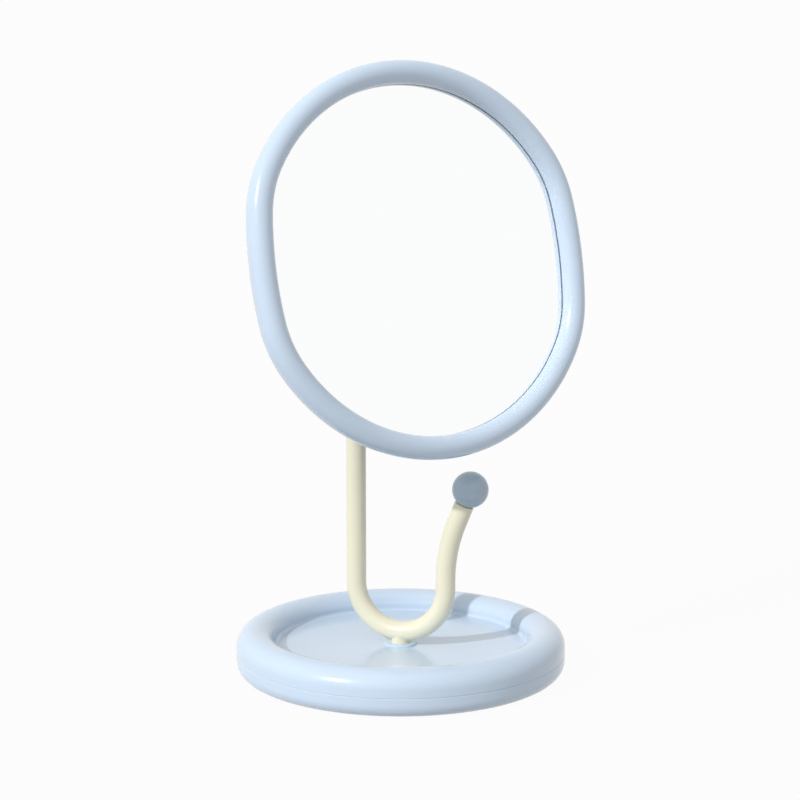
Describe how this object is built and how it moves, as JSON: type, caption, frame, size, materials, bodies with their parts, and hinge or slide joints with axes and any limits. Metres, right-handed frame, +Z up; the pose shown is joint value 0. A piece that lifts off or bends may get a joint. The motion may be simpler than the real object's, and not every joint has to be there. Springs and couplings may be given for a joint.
{
  "type": "table mirror with tray base",
  "caption": "Table-top vanity mirror whose round-cornered head turns and tilts on a bent tube stand, with a ball-tipped hook for jewellery and a round dished tray as the base.",
  "frame": {"origin": "centre of the underside of the base's anti-slip pad, where it rests on the table", "axes": "+Z up along the base's axis and the swivel's axis; +X from the post towards the hook; at rest the mirror faces halfway between +X and -Y, leaning back"},
  "size_m": [0.15, 0.1562, 0.2762],
  "materials": {
    "blue_plastic": "gloss pale blue, lightly textured by moulding",
    "ball_plastic": "gloss grey blue",
    "cream_paint": "semi-gloss cream powder coat",
    "mirror": "silvered float glass",
    "steel": "zinc plated, satin",
    "ballast": "plain dark stamped plate",
    "white_plastic": "natural acetal",
    "rubber": "matt pale grey rubber",
    "foam": "matt closed-cell foam"
  },
  "bodies": {
    "stand": {"base_tray": "blue_plastic", "base_bottom": "blue_plastic", "antislip_pad": "rubber", "ballast_plate": "ballast", "base_screws": "steel", "foot_stud": "cream_paint", "foot_washer": "steel", "foot_lock_washer": "steel", "foot_nut": "steel", "stand_tube": "cream_paint", "hook_insert": "white_plastic", "ball_stud": "steel", "hook_ball": "ball_plastic", "swivel_bushing": "white_plastic"},
    "swivel": {"swivel_head": "cream_paint", "swivel_spindle": "steel", "spindle_clip": "steel", "swivel_washer": "white_plastic"},
    "mirror_head": {"mirror_frame": "blue_plastic", "back_cover": "blue_plastic", "mirror_glass": "mirror", "glass_pad": "foam", "tilt_bracket": "cream_paint", "bracket_screws": "steel", "tilt_bolt": "steel", "friction_washers": "white_plastic", "tilt_spring_washer": "steel", "tilt_nut": "steel"}
  },
  "joints": [
    {"name": "head_swivel", "type": "hinge", "parent": "stand", "child": "swivel", "pos_m": [0, 0, 0.17198], "axis": [0, 0, 1], "range_deg": [-42, 118]},
    {"name": "mirror_tilt", "type": "hinge", "parent": "swivel", "child": "mirror_head", "pos_m": [0, 0, 0.18598], "axis": [-0.6129, -0.7902, 0], "range_deg": [-18, 32]}
  ]
}
